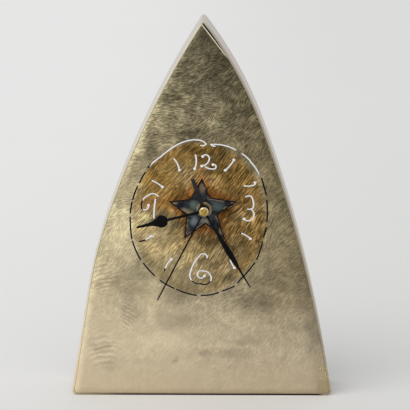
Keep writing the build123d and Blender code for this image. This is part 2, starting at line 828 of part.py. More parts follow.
with BuildPart() as rotor_magnet:
    disc(stator_y + air, magnet_radius, magnet_thick, rotor_at)
    bore(stator_y + air, arbor, magnet_thick, rotor_at)
rotor_magnet.part.label = "rotor_magnet"
export_step(rotor_magnet.part, "parts/rotor_magnet.step")

with BuildPart() as stator:
    with BuildSketch(dial_plane(stator_y, rotor_at)):
        left = -rotor_hole - stator_side
        right = rotor_hole + stator_rim
        arm_end = coil_reach + core_width / 2 + stator_side
        arm_root = stator_half - stator_arm
        with BuildLine():
            Polyline(
                (left, left), (0, left), (stator_arm, -stator_half), (arm_end, -stator_half), (arm_end, -arm_root),
                (right, -arm_root), (right, arm_root), (arm_end, arm_root), (arm_end, stator_half),
                (left, stator_half), close=True,
            )
        make_face()
        Circle(rotor_hole, mode=Mode.SUBTRACT)
    extrude(amount=-stator_thick)
stator.part.label = "stator"
export_step(stator.part, "parts/stator.step")

with BuildPart() as coil_core:
    with BuildSketch(dial_plane(core_y, coil_at)):
        Rectangle(core_width, 2 * stator_half)
    extrude(amount=-core_thick)
coil_core.part.label = "coil_core"
export_step(coil_core.part, "parts/coil_core.step")

with BuildPart() as coil_winding:
    with Locations((dial_x + coil_at[0], core_y + core_thick / 2, dial_z + coil_at[1])):
        Cylinder(coil_radius, coil_length)
        Box(core_width, core_thick, coil_length, mode=Mode.SUBTRACT)
coil_winding.part.label = "coil_winding"
export_step(coil_winding.part, "parts/coil_winding.step")

# Circuit
board_at = (board_margin + board_width / 2 - inner_half, inner_high - board_margin - board_height / 2)
crystal_at = shifted(board_at, -board_width / 4, board_height / 4)
chip_at = shifted(board_at, 0, -board_height / 6)
buzzer_at = (inner_half - buzzer_margin - buzzer_radius, inner_high - buzzer_margin - buzzer_radius)
with BuildPart() as circuit_board:
    with BuildSketch(dial_plane(stator_y, board_at)):
        Rectangle(board_width, board_height)
    extrude(amount=-board_thick)
circuit_board.part.label = "circuit_board"
export_step(circuit_board.part, "parts/circuit_board.step")

with BuildPart() as crystal:
    with BuildSketch(dial_plane(stator_y + board_thick, crystal_at)):
        RectangleRounded(crystal_width, crystal_length, crystal_corner)
    extrude(amount=-crystal_thick)
crystal.part.label = "crystal"
export_step(crystal.part, "parts/crystal.step")

with BuildPart() as chip:
    disc(stator_y + board_thick, chip_radius, chip_thick, chip_at)
    chamfer(chip.faces().sort_by(Axis.Y)[-1].edges(), length=chip_bevel)
chip.part.label = "chip"
export_step(chip.part, "parts/chip.step")

with BuildPart() as buzzer:
    disc(inner_front, buzzer_radius, buzzer_thick, buzzer_at)
buzzer.part.label = "buzzer"
export_step(buzzer.part, "parts/buzzer.step")

# Battery across the bay, with its contacts at the ends
with BuildPart() as battery:
    cell_axis = Plane(origin=(dial_x - cell_length / 2, cell_y, dial_z + cell_z), z_dir=(1, 0, 0))
    with BuildSketch(cell_axis):
        Circle(cell_radius)
    extrude(amount=cell_length)
    chamfer(battery.edges().filter_by(GeomType.CIRCLE), length=cell_edge)
    with BuildSketch(cell_axis):
        Circle(nub_radius)
    extrude(amount=-cell_nub)
battery.part.label = "battery"
export_step(battery.part, "parts/battery.step")

contact_plane = Plane.XY.offset(dial_z + cell_z - contact_tall / 2)
contact_back = movement_back - movement_wall
foot_y = inner_front + contact_thick
left_wall = dial_x - inner_half
left_touch = dial_x - cell_length / 2 - cell_nub - air
with BuildPart() as positive_contact:
    with BuildSketch(contact_plane):
        with BuildLine():
            Polyline(
                (left_wall, contact_back), (left_wall, inner_front),
                (left_wall + contact_foot, inner_front), (left_wall + contact_foot, foot_y),
                (left_wall + contact_thick, foot_y), (left_wall + contact_thick, cell_y - contact_bow),
                (left_touch, cell_y - contact_flat), (left_touch, cell_y + contact_flat),
                (left_wall + contact_thick, cell_y + contact_bow), (left_wall + contact_thick, contact_back),
                close=True,
            )
        make_face()
    extrude(amount=contact_tall)
positive_contact.part.label = "positive_contact"
export_step(positive_contact.part, "parts/positive_contact.step")

right_wall = dial_x + inner_half
right_touch = dial_x + cell_length / 2 + air
with BuildPart() as negative_contact:
    with BuildSketch(contact_plane):
        with BuildLine():
            Polyline(
                (right_wall, contact_back), (right_wall, inner_front),
                (right_wall - contact_foot, inner_front), (right_wall - contact_foot, foot_y),
                (right_wall - contact_thick, foot_y), (right_wall - contact_thick, cell_y + contact_bow),
                (right_touch + contact_thick, cell_y), (right_touch, cell_y),
                (right_touch, cell_y + contact_flat), (right_wall - 2 * contact_thick, contact_back),
                close=True,
            )
        make_face()
    extrude(amount=contact_tall)
negative_contact.part.label = "negative_contact"
export_step(negative_contact.part, "parts/negative_contact.step")

# Setting knobs on the back, each on its arbor
knob_y = movement_back + knob_air
knob_seat = knob_y + knob_socket


def knob(radius, centre):
    """Knurled thumb knob, added to the current part."""
    with BuildSketch(dial_plane(knob_y, centre)) as rim:
        gear(knob_teeth, radius / (knob_teeth / 2 + 0.9), 0)
    extrude(rim.sketch, amount=-knob_tall)
    bore(knob_y, set_arbor, knob_socket, centre)


with BuildPart() as time_knob:
    knob(time_knob_radius, motion_at)
time_knob.part.label = "time_knob"
export_step(time_knob.part, "parts/time_knob.step")

with BuildPart() as motion_wheel:
    with BuildSketch(dial_plane(motion_wheel_y, motion_at)):
        gear(30, set_module, motion_angle + 180 + 180 / 30)
    extrude(amount=-wheel_width)
    with BuildSketch(dial_plane(hour_wheel_y - leaf_proud, motion_at)):
        gear(8, set_module, motion_angle + 180, leaf=True)
    extrude(amount=hour_wheel_y - leaf_proud - motion_wheel_y)
    disc(inner_front - pivot_depth, set_arbor, knob_seat - inner_front + pivot_depth, motion_at)
motion_wheel.part.label = "motion_wheel"
export_step(motion_wheel.part, "parts/motion_wheel.step")

with BuildPart() as alarm_knob:
    knob(alarm_knob_radius, alarm_at)
alarm_knob.part.label = "alarm_knob"
export_step(alarm_knob.part, "parts/alarm_knob.step")

with BuildPart() as alarm_pinion:
    with BuildSketch(dial_plane(alarm_wheel_y - leaf_proud, alarm_at)):
        gear(10, set_module, alarm_angle + 180, leaf=True)
    extrude(amount=-(wheel_width + 2 * leaf_proud))
    disc(inner_front - pivot_depth, set_arbor, knob_seat - inner_front + pivot_depth, alarm_at)
alarm_pinion.part.label = "alarm_pinion"
export_step(alarm_pinion.part, "parts/alarm_pinion.step")

# Alarm switch in its slot
with BuildPart() as alarm_switch:
    with BuildSketch(dial_plane(inner_back - air - switch_shoe, switch_at)):
        Rectangle(switch_shoe_width, switch_shoe_height)
    extrude(amount=-switch_shoe)
    with BuildSketch(dial_plane(inner_back - air, switch_at)):
        Rectangle(switch_stem, switch_stem)
    extrude(amount=-(movement_face + 2 * air))
    with BuildSketch(dial_plane(movement_back + air, switch_at)):
        Rectangle(switch_cap_side, switch_cap_side)
    extrude(amount=-switch_cap)
    fillet(alarm_switch.edges().group_by(Axis.Y)[-1], radius=switch_round)
alarm_switch.part.label = "alarm_switch"
export_step(alarm_switch.part, "parts/alarm_switch.step")
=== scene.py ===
from math import cos, pi, radians, sin

import bpy
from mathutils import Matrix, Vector


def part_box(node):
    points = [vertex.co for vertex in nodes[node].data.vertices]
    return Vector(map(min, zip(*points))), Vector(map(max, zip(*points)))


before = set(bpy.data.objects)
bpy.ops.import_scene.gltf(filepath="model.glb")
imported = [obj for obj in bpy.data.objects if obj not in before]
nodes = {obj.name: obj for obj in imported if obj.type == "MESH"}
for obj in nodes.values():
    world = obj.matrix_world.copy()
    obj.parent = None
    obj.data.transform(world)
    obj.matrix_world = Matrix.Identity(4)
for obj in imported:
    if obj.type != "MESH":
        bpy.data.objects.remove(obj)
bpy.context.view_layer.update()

scene = bpy.context.scene

# Lengths are in metres unless a name ends in _mm; materials work in millimetres
mm = 0.001
boss_low, boss_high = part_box("second_boss")
dial_mm = ((boss_low.x + boss_high.x) / 2 / mm, (boss_low.z + boss_high.z) / 2 / mm)
plate_low, plate_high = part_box("front_plate")
foot_half_mm = plate_high.x / mm
case_height_mm = plate_high.z / mm

# Dial ring: an oval whose middle is beside the hand centre
ring_middle_mm = (dial_mm[0] - 4.2, dial_mm[1] - 7.1)
ring_half_mm = (55.2, 63.8)

# Corners of the dial's star from its top tip clockwise, measured from a point near the hand centre
star_middle_mm = (dial_mm[0] - 0.6, dial_mm[1] - 0.1)
star_corners_mm = (
    (-1.1, 24.9), (4.9, 9.5), (26.1, 6.1), (10.6, -3.9), (16.6, -23.2),
    (1.8, -11.2), (-14.9, -23.0), (-13.1, -4.1), (-26.7, 6.1), (-10.1, 8.2),
)

# Heat colours of the star along a noise
star_colours = (
    (0.34, (0.034, 0.022, 0.032)),
    (0.44, (0.020, 0.022, 0.028)),
    (0.50, (0.042, 0.050, 0.055)),
    (0.56, (0.072, 0.088, 0.085)),
    (0.62, (0.040, 0.046, 0.054)),
    (0.72, (0.060, 0.038, 0.042)),
)

# Tints on the star, measured from the hand centre: middle, half size and colour
bronze = (0.24, 0.165, 0.115)
tan = (0.36, 0.26, 0.17)
straw = (0.40, 0.34, 0.21)
umber = (0.24, 0.22, 0.18)
plum = (0.10, 0.065, 0.065)
slate = (0.21, 0.25, 0.26)
teal = (0.14, 0.19, 0.165)
deep_teal = (0.09, 0.13, 0.125)
night = (0.016, 0.013, 0.020)
star_tints_mm = (
    ((-1.3, 17.0), (3.6, 6.0), bronze),
    ((-24.0, 5.5), (6.5, 4.0), tan),
    ((-18.5, 3.8), (7.5, 4.5), night),
    ((-15.0, -1.8), (9.0, 4.0), straw),
    ((-8.0, 3.5), (6.0, 6.0), teal),
    ((9.5, 2.5), (6.0, 6.0), deep_teal),
    ((-8.0, -9.5), (4.5, 6.5), slate),
    ((1.0, -10.0), (7.0, 4.0), umber),
    ((-13.5, -18.0), (4.5, 6.0), plum),
    ((14.0, -19.0), (3.5, 6.0), tan),
)

# Plate edge beside the open seam under the apex, on the right, where a highlight is painted: two points on
# it, and its outward side
seam_top_mm = Vector((0.55, 304.1))
seam_end_mm = Vector((19.4, 279.4))
seam_out = Vector((seam_top_mm.y - seam_end_mm.y, seam_end_mm.x - seam_top_mm.x)).normalized()
seam_far_mm = seam_out.dot(seam_top_mm)

# Half width of the plate at some heights, for the painted light and shade along its sides
outline_mm = (
    (0.0, 104.5), (90.0, 90.2), (115.0, 84.5), (153.0, 72.4), (180.0, 63.2), (205.0, 53.2),
    (231.0, 41.5), (256.0, 29.0), (280.0, 15.2), (304.0, 0.0),
)

# Colour of the steel up the plate, as shares of its height; its darkening towards the apex is painted shade
# in place of a dark reflection
steel_and_painted_shade_up_plate = (
    (0.0, (0.68, 0.565, 0.395)),
    (0.14, (0.67, 0.565, 0.395)),
    (0.30, (0.475, 0.40, 0.26)),
    (0.48, (0.445, 0.38, 0.235)),
    (0.64, (0.315, 0.265, 0.16)),
    (0.80, (0.20, 0.173, 0.105)),
    (0.90, (0.122, 0.106, 0.064)),
    (1.0, (0.10, 0.087, 0.053)),
)

# Places painted darker or brighter than their surroundings: middle, half size, and stops of light
tone_patches_mm = (
    ((-11.0, 286.0), (10.0, 8.0), -0.5),
    ((-1.0, 279.0), (10.0, 8.0), 0.4),
    ((49.0, 184.0), (9.0, 18.0), 0.5),
    ((7.0, 243.0), (15.0, 12.0), 0.55),
    ((25.0, 228.0), (13.0, 14.0), -0.35),
    ((8.0, 223.0), (10.0, 13.0), 0.35),
    ((-37.0, 212.0), (8.0, 9.0), -0.5),
    ((-11.0, 213.0), (13.0, 13.0), -0.7),
    ((-34.0, 236.0), (12.0, 26.0), 0.45),
    ((-48.0, 205.0), (10.0, 14.0), 0.35),
    ((-39.0, 200.0), (9.0, 15.0), -1.0),
    ((-10.0, 204.0), (13.0, 9.0), -0.9),
    ((9.0, 200.0), (17.0, 10.0), -0.85),
    ((10.0, 191.0), (20.0, 8.0), -0.9),
    ((3.4, 248.0), (7.0, 16.0), 0.4),
    ((2.0, 177.0), (22.0, 6.0), 0.5),
    ((-45.0, 176.0), (13.0, 11.0), 0.35),
    ((-18.0, 164.0), (12.0, 9.0), -1.2),
    ((15.0, 154.0), (9.0, 14.0), -1.1),
    ((-21.0, 140.0), (10.0, 9.0), -1.2),
    ((5.0, 131.0), (11.0, 8.0), -1.0),
    ((44.0, 140.0), (9.0, 16.0), 0.6),
    ((33.0, 109.0), (9.0, 9.0), 0.75),
    ((-48.0, 142.0), (17.0, 14.0), 0.95),
    ((-66.0, 139.0), (13.0, 30.0), 0.5),
    ((-35.0, 122.0), (24.0, 15.0), 0.5),
    ((-14.0, 112.0), (12.0, 10.0), 0.5),
    ((-48.0, 108.0), (12.0, 17.0), -0.65),
    ((-30.0, 101.0), (16.0, 9.0), -0.4),
    ((8.0, 108.0), (11.0, 9.0), -0.6),
    ((24.0, 99.0), (13.0, 8.0), -0.9),
    ((11.0, 71.0), (12.0, 14.0), 0.12),
    ((-62.0, 92.0), (22.0, 18.0), -0.45),
    ((-58.0, 72.0), (13.0, 17.0), -0.4),
    ((-18.0, 84.0), (19.0, 14.0), -0.6),
    ((-21.0, 62.0), (26.0, 13.0), -0.35),
    ((-40.0, 68.0), (7.0, 17.0), 0.3),
    ((46.0, 78.0), (29.0, 12.0), -0.5),
    ((58.0, 95.0), (24.0, 12.0), -0.35),
    ((31.0, 62.0), (20.0, 10.0), 0.2),
    ((-32.0, 45.0), (34.0, 15.0), 0.12),
    ((3.0, 35.0), (6.5, 4.5), -0.55),
    ((-20.0, 29.0), (4.5, 4.0), -0.4),
    ((26.0, 34.0), (26.0, 6.0), -0.36),
    ((34.0, 45.0), (24.0, 5.0), -0.26),
    ((-82.0, 41.0), (15.0, 9.0), -0.35),
    ((-74.0, 26.0), (14.0, 7.0), -0.25),
    ((92.0, 52.0), (12.0, 22.0), -0.4),
    ((84.0, 88.0), (11.0, 26.0), -0.3),
)

# Ripples left by the grinding wheel: middle, half size, slope in degrees and pitch
ripples_mm = (
    ((-60.0, 67.0), (10.0, 20.0), -28.0, 3.1),
    ((-80.0, 98.0), (16.0, 26.0), 14.0, 3.6),
    ((-80.0, 37.0), (17.0, 20.0), 6.0, 4.4),
)

# Grinding strokes: width and length of one, and the patches ground at one slant, earlier and later
stroke_width_mm = 0.72
stroke_length_mm = 4.6
long_stroke_mm = 8.0
early_patch_mm = 15.0
late_patch_mm = 21.0

# Sizes of the noises on the plate
cloud_mm = 70.0
blotch_mm = 32.0
drift_mm = 14.0
mottle_mm = 10.0
hue_mm = 7.0
cut_grain_mm = 6.0
glint_mm = 1.1

# Share of a surface normal along y where a face starts and fully counts as front, bevel or slit wall
front_facing = (-0.7, -0.9)
bevel_facing = (-0.97, -0.80)
wall_facing = (-0.6, -0.4)


class Nodes:
    """One node tree; most methods add nodes and give back an output socket."""

    # Sockets of the mix node that carry colours
    mix_first, mix_second, mix_result = 6, 7, 2

    def __init__(self, tree):
        self.tree = tree
        tree.nodes.clear()

    def add(self, kind, **settings):
        node = self.tree.nodes.new(kind)
        for name, value in settings.items():
            setattr(node, name, value)
        return node

    def put(self, socket, value):
        if isinstance(value, bpy.types.NodeSocket):
            self.tree.links.new(value, socket)
        elif isinstance(value, tuple) and len(value) == 3 and socket.type == "RGBA":
            socket.default_value = (*value, 1.0)
        else:
            socket.default_value = value

    def math(self, operation, *values):
        node = self.add("ShaderNodeMath", operation=operation)
        for socket, value in zip(node.inputs, values):
            self.put(socket, value)
        return node.outputs[0]

    def total(self, first, *rest):
        for value in rest:
            first = self.math("ADD", first, value)
        return first

    def product(self, first, *rest):
        for value in rest:
            first = self.math("MULTIPLY", first, value)
        return first

    def less(self, value, other):
        return self.math("SUBTRACT", value, other)

    def sway(self, value, reach):
        """A value between nought and one, turned into a sway about nought over the reach."""
        return self.product(self.less(value, 0.5), reach)

    def remap(self, value, low, high, to_low=0.0, to_high=1.0):
        """Smooth step from to_low to to_high as the value goes from low to high."""
        node = self.add("ShaderNodeMapRange", interpolation_type="SMOOTHSTEP")
        for socket, number in zip(node.inputs, (value, low, high, to_low, to_high)):
            self.put(socket, number)
        return node.outputs[0]

    def ease(self, share, at_none, at_full):
        """Smooth step between two values as a share goes from nought to one."""
        return self.remap(share, 0.0, 1.0, at_none, at_full)

    def band(self, value, start, full, full_end, end):
        """One between full and full_end, falling to nought at start and at end."""
        return self.product(self.remap(value, start, full), self.remap(value, end, full_end))

    def vector(self, operation, *values, scale=None, out=0):
        node = self.add("ShaderNodeVectorMath", operation=operation)
        for socket, value in zip(node.inputs, values):
            self.put(socket, value)
        if scale is not None:
            self.put(node.inputs["Scale"], scale)
        return node.outputs[out]

    def length(self, vector):
        return self.vector("LENGTH", vector, out=1)

    def split(self, vector):
        node = self.add("ShaderNodeSeparateXYZ")
        self.put(node.inputs[0], vector)
        return node.outputs[:]

    def combine(self, x, y, z):
        node = self.add("ShaderNodeCombineXYZ")
        for socket, value in zip(node.inputs, (x, y, z)):
            self.put(socket, value)
        return node.outputs[0]

    def place(self):
        """Place on the object in millimetres, and its x, y and z."""
        coordinate = self.add("ShaderNodeTexCoord").outputs["Object"]
        at = self.vector("SCALE", coordinate, scale=1 / mm)
        return at, self.split(at)

    def facing(self):
        """Outward direction of the surface as x, y and z."""
        return self.split(self.add("ShaderNodeNewGeometry").outputs["Normal"])

    def shift(self, plan, x, z):
        """Place moved in the plane, so that two noises do not line up."""
        return self.vector("ADD", plan, (x, z, 0.0))

    def stray(self, plan, drift, reach):
        """Place moved to and fro in the plane by the colours of a noise."""
        sway = self.vector("SUBTRACT", drift, (0.5, 0.5, 0.5))
        return self.vector("ADD", plan, self.vector("MULTIPLY", sway, (reach, reach, 0.0)))

    def past(self, plan, out, far):
        """Way past a straight line, given by its outward direction and how far out it lies."""
        return self.less(self.vector("DOT_PRODUCT", plan, (*out, 0.0), out=1), far)

    def noise(self, vector, scale, detail=3.0, rough=0.55, bend=0.0, colour=False):
        node = self.add("ShaderNodeTexNoise")
        self.put(node.inputs["Vector"], vector)
        self.put(node.inputs["Scale"], scale)
        self.put(node.inputs["Detail"], detail)
        self.put(node.inputs["Roughness"], rough)
        self.put(node.inputs["Distortion"], bend)
        return node.outputs["Color" if colour else 0]

    def cells(self, vector, scale):
        """Random colour and middle of the nearest cell in the plane, and the way to its edge."""
        near = self.add("ShaderNodeTexVoronoi", voronoi_dimensions="2D")
        edge = self.add("ShaderNodeTexVoronoi", voronoi_dimensions="2D", feature="DISTANCE_TO_EDGE")
        for node in (near, edge):
            self.put(node.inputs["Vector"], vector)
            self.put(node.inputs["Scale"], scale)
        return near.outputs["Color"], near.outputs["Position"], edge.outputs["Distance"]

    def oval(self, plan, middle, half, strength):
        """Strength in the middle of a soft oval, falling to nought at its rim."""
        core, rim = 0.15, 1.0
        away = self.vector("SUBTRACT", plan, (*middle, 0.0))
        away = self.vector("MULTIPLY", away, (1 / half[0], 1 / half[1], 0.0))
        return self.remap(self.length(away), rim, core, 0.0, strength)

    def ripple(self, plan, middle, half, slope, pitch):
        """Waves between minus one and one across an oval, bent a little along their crests."""
        bend = 0.02
        x, z, _ = self.split(self.vector("SUBTRACT", plan, (*middle, 0.0)))
        turn = radians(slope)
        along = self.total(self.product(x, cos(turn)), self.product(z, sin(turn)))
        across = self.total(self.product(z, cos(turn)), self.product(x, -sin(turn)))
        across = self.total(across, self.product(along, along, bend))
        wave = self.math("SINE", self.product(across, 2 * pi / pitch))
        return self.product(wave, self.oval(plan, middle, half, 1.0))

    def mix(self, factor, first, second, blend="MIX"):
        node = self.add("ShaderNodeMix", data_type="RGBA", blend_type=blend)
        self.put(node.inputs[0], factor)
        self.put(node.inputs[self.mix_first], first)
        self.put(node.inputs[self.mix_second], second)
        return node.outputs[self.mix_result]

    def tint(self, colour, red, green, blue):
        """Colour with each of its channels multiplied."""
        return self.mix(1.0, colour, self.combine(red, green, blue), "MULTIPLY")

    def expose(self, colour, stops):
        """Colour made lighter or darker by stops of light."""
        gain = self.math("POWER", 2.0, stops)
        return self.tint(colour, gain, gain, gain)

    def ramp(self, factor, *stops):
        node = self.add("ShaderNodeValToRGB")
        elements = node.color_ramp.elements
        while len(elements) < len(stops):
            elements.new(1.0)
        for element, (place, colour) in zip(elements, stops):
            element.position = place
            element.color = (*colour, 1.0)
        self.put(node.inputs[0], factor)
        return node.outputs[0]

    def bump(self, height, depth_mm):
        """Normal of a surface raised by height times depth_mm."""
        node = self.add("ShaderNodeBump")
        node.inputs["Distance"].default_value = depth_mm * mm
        self.put(node.inputs["Height"], height)
        return node.outputs[0]

    def finish(self, colour, roughness, metallic=0.0, normal=None, shine=0.5):
        shader = self.add("ShaderNodeBsdfPrincipled")
        self.put(shader.inputs["Base Color"], colour)
        self.put(shader.inputs["Roughness"], roughness)
        self.put(shader.inputs["Metallic"], metallic)
        self.put(shader.inputs["Specular IOR Level"], shine)
        if normal is not None:
            self.put(shader.inputs["Normal"], normal)
        output = self.add("ShaderNodeOutputMaterial")
        self.tree.links.new(shader.outputs[0], output.inputs["Surface"])


def new_material(name):
    material = bpy.data.materials.new(name)
    material.use_nodes = True
    return material, Nodes(material.node_tree)


def grind_patch(n, plan, patch_mm, lean, spread, length_mm, seed):
    """Strokes of a hand grinder in patches, each with its own slant. Gives stroke, tone and cover."""
    seed_x_mm, seed_z_mm, patch_step = 37.0, 61.0, 57.0
    drift_share, ragged_share, border = 0.6, 0.9, (0.02, 0.16)
    straight_mark, bow = 0.4, 0.012
    moved = n.shift(plan, seed_x_mm * seed, seed_z_mm * seed)
    drift = n.noise(moved, 1 / (drift_share * patch_mm), detail=2.0, colour=True)
    chance, middle, edge = n.cells(n.stray(moved, drift, ragged_share * patch_mm), 1 / patch_mm)
    slant, level, mark = n.split(chance)
    turned = n.add("ShaderNodeVectorRotate", rotation_type="Z_AXIS")
    n.put(turned.inputs["Vector"], n.vector("SUBTRACT", moved, middle))
    n.put(turned.inputs["Angle"], n.less(n.sway(slant, spread), lean))
    along, across, _ = n.split(turned.outputs[0])
    bend = n.product(along, along, n.product(n.less(mark, straight_mark), bow))
    lines = n.combine(
        n.math("DIVIDE", along, length_mm),
        n.math("DIVIDE", n.total(across, bend), stroke_width_mm),
        n.product(level, patch_step),
    )
    return n.noise(lines, 1.0, detail=3.0, rough=0.62), level, n.remap(edge, *border)


def ground_face(n, plan, lean, spread, length_mm, seed):
    """Later grinder patches over earlier ones: stroke and tone, both about one half."""
    *under, _ = grind_patch(n, plan, early_patch_mm, lean, spread, length_mm, seed)
    *over, cover = grind_patch(n, plan, late_patch_mm, lean, spread, length_mm, seed + 1.0)
    return [n.math("MULTIPLY_ADD", n.less(late, early), cover, early) for late, early in zip(over, under)]


def star_distance(n, plan):
    """Way in millimetres past the nearest edge of the dial's star, below zero inside."""
    corners = [Vector(corner) + Vector(star_middle_mm) for corner in star_corners_mm]
    centre = sum(corners, Vector((0, 0))) / len(corners)
    arms = []
    for k in range(0, len(corners), 2):
        tip = corners[k]
        walls = []
        for other, turn in ((corners[k - 1], 1), (corners[k + 1], -1)):
            edge = (other - tip).normalized()
            out = Vector((edge.y, -edge.x)) * turn
            walls.append((out, out.dot(tip)))
        inward = (centre - tip).normalized()
        walls.append((inward, inward.dot(centre)))
        first, second, third = (n.past(plan, *wall) for wall in walls)
        arms.append(n.math("MAXIMUM", n.math("MAXIMUM", first, second), third))
    nearest = arms[0]
    for arm in arms[1:]:
        nearest = n.math("MINIMUM", nearest, arm)
    return nearest


def ring_reach(n, x, z):
    """Way from the middle of the dial's oval ring, one on the ring itself."""
    away = n.vector("SUBTRACT", n.combine(x, z, 0.0), (*ring_middle_mm, 0.0))
    return n.length(n.vector("DIVIDE", away, (*ring_half_mm, 1.0)))


class PlateFace:
    """What the looks of the dial plate share: place on its face, slow noises, ring and star."""

    def __init__(self, n, x, z):
        stray_mm, fray_mm = 16.0, 7.0
        side_sway, ring_edge = 0.5, (1.01, 0.93)
        self.x, self.z = x, z
        self.plan = n.combine(x, z, 0.0)
        self.high = n.math("DIVIDE", z, case_height_mm)
        self.blotch = n.noise(self.plan, 1 / blotch_mm, detail=4.0)
        self.cloud = n.noise(n.shift(self.plan, 210.0, 80.0), 1 / cloud_mm, detail=2.0)
        self.side = n.total(n.math("DIVIDE", x, foot_half_mm), n.sway(self.cloud, side_sway))
        self.inside = n.remap(ring_reach(n, x, z), *ring_edge)
        self.outside = n.less(1.0, self.inside)
        self.star = star_distance(n, self.plan)
        drift = n.noise(n.shift(self.plan, 330.0, 10.0), 1 / drift_mm, detail=3.0, colour=True)
        self.strayed = n.stray(self.plan, drift, stray_mm)
        self.frayed = n.stray(self.plan, drift, fray_mm)


def steel_and_painted_light(n, face):
    """Steel before heat tints and patches: painted shade darker towards the apex, painted light brighter on
    the left, warmer on the right.
    """
    height_sway = 0.14
    left_to_right, left_gain, right_gain = (-0.9, 0.8), 1.5, 0.66
    above_foot_mm, foot_share = (10.0, 120.0), 0.2
    warm_side, warm_z_mm, warm_green, warm_blue = (0.0, 0.7), (40.0, 100.0), 0.965, 0.88
    # Painted shade: the steel ramp darkens towards the apex
    steel = n.ramp(n.total(face.high, n.sway(face.blotch, height_sway)), *steel_and_painted_shade_up_plate)
    # Painted light: brighter on the left, darker on the right, less so near the foot
    gain = n.less(n.remap(face.side, *left_to_right, left_gain, right_gain), 1.0)
    gain = n.total(1.0, n.product(gain, n.remap(face.z, *above_foot_mm, foot_share, 1.0)))
    warm = n.product(n.remap(face.side, *warm_side), n.remap(face.z, *warm_z_mm))
    green = n.product(gain, n.ease(warm, 1.0, warm_green))
    blue = n.product(gain, n.ease(warm, 1.0, warm_blue))
    return n.tint(steel, gain, green, blue)


def ring_heat(n, face, steel):
    """Amber heat tint inside the ring, deeper towards its upper right."""
    rightward, upper_mm, left_to_right = 0.5, (-60.0, 20.0), (-0.4, 0.4)
    lower_cover, upper_cover, patchy_cover = 0.7, 0.95, 0.55
    from_x = n.less(face.x, ring_middle_mm[0])
    from_z = n.less(face.z, ring_middle_mm[1])
    upper = n.remap(n.total(from_z, n.product(from_x, rightward)), *upper_mm)
    right = n.remap(face.side, *left_to_right)
    pale_amber = n.mix(right, (0.34, 0.248, 0.098), (0.30, 0.195, 0.066))
    deep_amber = n.mix(right, (0.31, 0.18, 0.042), (0.235, 0.14, 0.040))
    patchy = n.remap(face.blotch, 0.25, 0.6, patchy_cover, 1.0)
    cover = n.product(face.inside, n.ease(upper, lower_cover, upper_cover), patchy)
    return n.mix(cover, steel, n.mix(upper, pale_amber, deep_amber))


def star_heat(n, face, steel):
    """Orange halo about the star with an arm to the left, and a brown scorch along the star's edge."""
    halo_mm, halo_cover, ragged_mm, left_to_right = (1.0, 24.0), 0.95, 7.0, (-0.35, 0.2)
    tips_mm, tips_less_mm = (13.0, 29.0), 8.0
    low_left_x_mm, low_left_z_mm, low_left_less_mm = (2.0, -14.0), (152.0, 138.0), 5.0
    arm_middle_mm, arm_half_mm, arm_cover = (dial_mm[0] - 38.0, dial_mm[1] + 5.0), (24.0, 10.0), 0.5
    scorch_mm, scorch_cover, scorch_tips, scorch_blotch = (6.0, 0.0), 0.82, 0.4, (0.35, 0.6)
    scorched = (0.055, 0.024, 0.010)
    from_hands = n.vector("DISTANCE", face.plan, (*dial_mm, 0.0), out=1)
    tips = n.remap(from_hands, *tips_mm, 0.0, tips_less_mm)
    low_left = n.product(n.remap(face.x, *low_left_x_mm), n.remap(face.z, *low_left_z_mm))
    ragged = n.product(face.blotch, ragged_mm)
    reach = n.total(face.star, tips, ragged, n.product(low_left, low_left_less_mm))
    arm = n.oval(face.plan, arm_middle_mm, arm_half_mm, arm_cover)
    halo = n.math("MAXIMUM", n.remap(reach, *halo_mm, 1.0, 0.0), arm)
    right = n.remap(face.side, *left_to_right)
    orange = n.mix(right, (0.35, 0.122, 0.018), (0.175, 0.062, 0.010))
    steel = n.mix(n.product(halo, halo_cover), steel, orange)
    scorch = n.remap(n.total(face.star, n.product(tips, scorch_tips)), *scorch_mm, 0.0, scorch_cover)
    return n.mix(n.product(scorch, n.remap(face.blotch, *scorch_blotch)), steel, scorched)


def patches_and_painted_edge_light(n, face, steel):
    """Lighter and darker patches, painted light along the left edge, and painted shade along the right edge
    and the foot.
    """
    left_edge_mm, right_edge_mm, foot_edge_mm = (6.5, 0.5), (18.0, 2.0), (7.0, 2.0)
    right_end_mm, right_stops, foot_stops = (235.0, 205.0), -0.35, -0.25
    glare_z_mm, low_glare = (165.0, 205.0), 0.4
    dull_z_mm, dull_stops = (95.0, 120.0, 160.0, 185.0), -0.35
    outline = ((at / case_height_mm, (half / foot_half_mm,) * 3) for at, half in outline_mm)
    half_mm = n.product(n.ramp(face.high, *outline), foot_half_mm)
    from_left, from_right = n.total(half_mm, face.x), n.less(half_mm, face.x)
    glare = n.remap(face.z, *glare_z_mm, low_glare, 1.0)
    glare = n.total(glare, n.product(n.band(face.z, *dull_z_mm), dull_stops))
    # Painted light along the left edge; painted shade along the right edge and at the foot
    edges = n.total(
        n.product(n.remap(from_left, *left_edge_mm), glare),
        n.product(n.remap(from_right, *right_edge_mm, 0.0, right_stops), n.remap(face.z, *right_end_mm)),
        n.remap(face.z, *foot_edge_mm, 0.0, foot_stops),
    )
    patches = n.total(*(n.oval(face.strayed, *patch) for patch in tone_patches_mm))
    return n.expose(steel, n.total(patches, edges))


